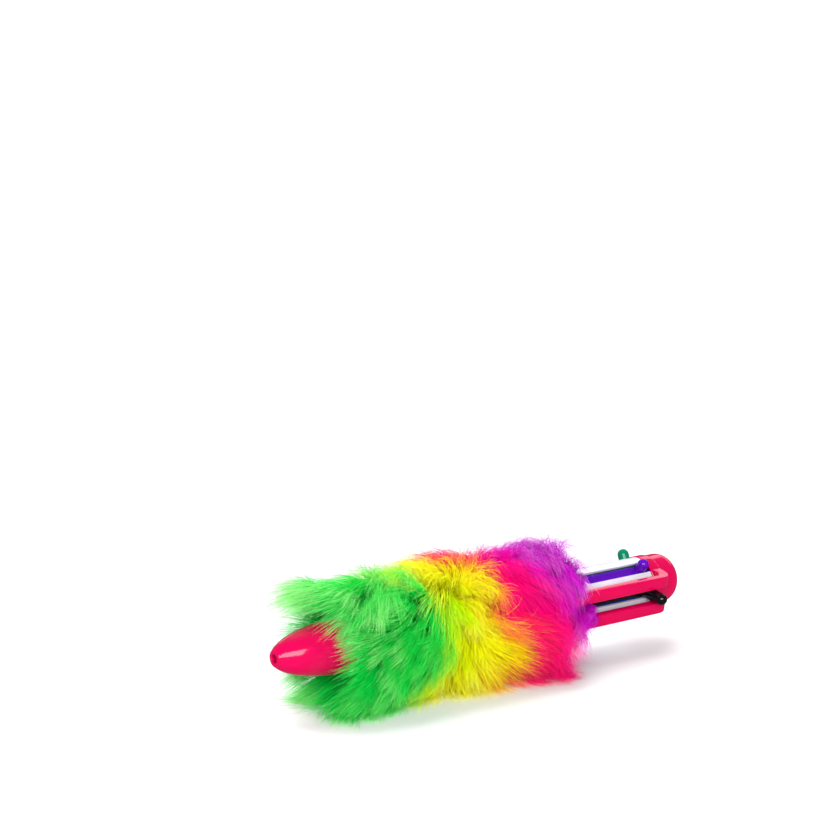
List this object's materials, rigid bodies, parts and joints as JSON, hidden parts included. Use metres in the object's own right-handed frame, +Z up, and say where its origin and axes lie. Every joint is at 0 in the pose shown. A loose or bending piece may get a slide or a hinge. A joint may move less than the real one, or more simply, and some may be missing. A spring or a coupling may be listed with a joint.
{
  "type": "multicolor click pen",
  "caption": "Jumbo shuttle ballpoint with a slider for each colour, a nose that unscrews, a two-arm clip on the cap and a soft fur sleeve round the barrel.",
  "frame": {"origin": "on the surface the pen lies on, under the middle of the pen's length and width", "axes": "+X along the pen from nose to cap, +Z up; the clip is on the -Y side"},
  "size_m": [0.154, 0.042, 0.039],
  "materials": {
    "nose_plastic": "gloss",
    "barrel_plastic": "gloss",
    "cap_plastic": "gloss",
    "core_plastic": "satin",
    "guide_plastic": "satin",
    "backing_knit": "matte",
    "fur": "matte",
    "tip_metal": "polished",
    "spring_steel": "satin",
    "green_plastic": "gloss",
    "green_refill": "satin",
    "purple_plastic": "gloss",
    "purple_refill": "satin",
    "black_plastic": "gloss",
    "black_refill": "satin",
    "blue_plastic": "gloss",
    "blue_refill": "satin",
    "orange_plastic": "gloss",
    "orange_refill": "satin",
    "red_plastic": "gloss",
    "red_refill": "satin"
  },
  "bodies": {
    "pen": {"main_barrel": "barrel_plastic", "cap_and_clip": "cap_plastic", "slider_core": "core_plastic", "spring_guide": "guide_plastic", "fur_backing": "backing_knit", "fur_pile": "fur", "return_spring_green": "spring_steel", "return_spring_purple": "spring_steel", "return_spring_black": "spring_steel", "return_spring_blue": "spring_steel", "return_spring_orange": "spring_steel", "return_spring_red": "spring_steel"},
    "nose": {"nose_cone": "nose_plastic"},
    "green_slider": {"slider_green": "green_plastic"},
    "green_refill": {"refill_tube_green": "green_refill", "refill_tip_green": "tip_metal"},
    "purple_slider": {"slider_purple": "purple_plastic"},
    "purple_refill": {"refill_tube_purple": "purple_refill", "refill_tip_purple": "tip_metal"},
    "black_slider": {"slider_black": "black_plastic"},
    "black_refill": {"refill_tube_black": "black_refill", "refill_tip_black": "tip_metal"},
    "blue_slider": {"slider_blue": "blue_plastic"},
    "blue_refill": {"refill_tube_blue": "blue_refill", "refill_tip_blue": "tip_metal"},
    "orange_slider": {"slider_orange": "orange_plastic"},
    "orange_refill": {"refill_tube_orange": "orange_refill", "refill_tip_orange": "tip_metal"},
    "red_slider": {"slider_red": "red_plastic"},
    "red_refill": {"refill_tube_red": "red_refill", "refill_tip_red": "tip_metal"}
  },
  "joints": [
    {"name": "nose_unscrew", "type": "slide", "parent": "pen", "child": "nose", "axis": [-1, 0, 0], "range_m": [0, 0.03]},
    {"name": "green_press", "type": "slide", "parent": "pen", "child": "green_slider", "axis": [-1, 0, 0], "range_m": [0, 0.0105], "stiffness_N_per_m": 60, "springref_m": -0.004, "deforming": ["return_spring_green"]},
    {"name": "purple_press", "type": "slide", "parent": "pen", "child": "purple_slider", "axis": [-1, 0, 0], "range_m": [0, 0.0105], "stiffness_N_per_m": 60, "springref_m": -0.004, "deforming": ["return_spring_purple"]},
    {"name": "black_press", "type": "slide", "parent": "pen", "child": "black_slider", "axis": [-1, 0, 0], "range_m": [0, 0.0105], "stiffness_N_per_m": 60, "springref_m": -0.004, "deforming": ["return_spring_black"]},
    {"name": "blue_press", "type": "slide", "parent": "pen", "child": "blue_slider", "axis": [-1, 0, 0], "range_m": [0, 0.0105], "stiffness_N_per_m": 60, "springref_m": -0.004, "deforming": ["return_spring_blue"]},
    {"name": "orange_press", "type": "slide", "parent": "pen", "child": "orange_slider", "axis": [-1, 0, 0], "range_m": [0, 0.0105], "stiffness_N_per_m": 60, "springref_m": -0.004, "deforming": ["return_spring_orange"]},
    {"name": "red_press", "type": "slide", "parent": "pen", "child": "red_slider", "axis": [-1, 0, 0], "range_m": [0, 0.0105], "stiffness_N_per_m": 60, "springref_m": -0.004, "deforming": ["return_spring_red"]},
    {"name": "green_lean", "type": "hinge", "parent": "green_slider", "child": "green_refill", "pos_m": [0.0347, 0.00172, 0.02227], "axis": [0, -0.9272, 0.3746], "range_deg": [0, 1.55], "deforming": ["refill_tube_green", "refill_tip_green"]},
    {"name": "purple_lean", "type": "hinge", "parent": "purple_slider", "child": "purple_refill", "pos_m": [0.0347, -0.00283, 0.02162], "axis": [0, -0.788, -0.6157], "range_deg": [0, 1.55], "deforming": ["refill_tube_purple", "refill_tip_purple"]},
    {"name": "black_lean", "type": "hinge", "parent": "black_slider", "child": "black_refill", "pos_m": [0.0347, -0.00456, 0.01736], "axis": [0, 0.1392, -0.9903], "range_deg": [0, 1.55], "deforming": ["refill_tube_black", "refill_tip_black"]},
    {"name": "blue_lean", "type": "hinge", "parent": "blue_slider", "child": "blue_refill", "pos_m": [0.0347, -0.00172, 0.01374], "axis": [0, 0.9272, -0.3746], "range_deg": [0, 1.55], "deforming": ["refill_tube_blue", "refill_tip_blue"]},
    {"name": "orange_lean", "type": "hinge", "parent": "orange_slider", "child": "orange_refill", "pos_m": [0.0347, 0.00283, 0.01438], "axis": [0, 0.788, 0.6157], "range_deg": [0, 1.55], "deforming": ["refill_tube_orange", "refill_tip_orange"]},
    {"name": "red_lean", "type": "hinge", "parent": "red_slider", "child": "red_refill", "pos_m": [0.0347, 0.00456, 0.01864], "axis": [0, -0.1392, 0.9903], "range_deg": [0, 1.55], "deforming": ["refill_tube_red", "refill_tip_red"]}
  ],
  "couplings": [
    {"joint": "green_lean", "follows": "green_press", "rad_per_m": 2.5675},
    {"joint": "purple_lean", "follows": "purple_press", "rad_per_m": 2.5675},
    {"joint": "black_lean", "follows": "black_press", "rad_per_m": 2.5675},
    {"joint": "blue_lean", "follows": "blue_press", "rad_per_m": 2.5675},
    {"joint": "orange_lean", "follows": "orange_press", "rad_per_m": 2.5675},
    {"joint": "red_lean", "follows": "red_press", "rad_per_m": 2.5675}
  ]
}
